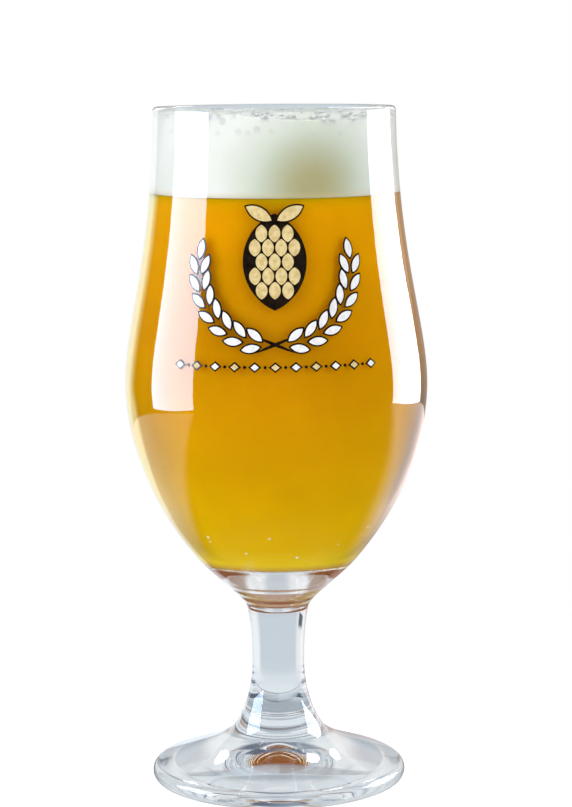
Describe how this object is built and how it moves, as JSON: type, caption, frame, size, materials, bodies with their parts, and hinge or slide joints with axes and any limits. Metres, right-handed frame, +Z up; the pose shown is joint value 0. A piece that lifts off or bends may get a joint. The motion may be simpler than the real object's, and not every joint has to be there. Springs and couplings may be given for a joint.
{
  "type": "tulip beer glass",
  "caption": "Stemmed tulip beer glass with a thin waisted bowl, thick floor, short solid stem and sloping round foot, filled with hazy amber beer under a foam head, with an enamel wreath print.",
  "frame": {"origin": "on the table under the middle of the foot", "axes": "+Z up the axis of the glass, with the print facing -Y and +X to the right of someone who faces the print"},
  "size_m": [0.0802, 0.0802, 0.18],
  "materials": {
    "clear_glass": "polished",
    "beer": "gloss",
    "foam": "matte",
    "enamel_white": "gloss",
    "enamel_cream": "gloss",
    "enamel_black": "gloss"
  },
  "bodies": {
    "root": {"bowl": "clear_glass", "stem": "clear_glass", "foot": "clear_glass", "beer": "beer", "foam_head": "foam", "print_white": "enamel_white", "print_cream": "enamel_cream", "print_black": "enamel_black"}
  },
  "joints": []
}
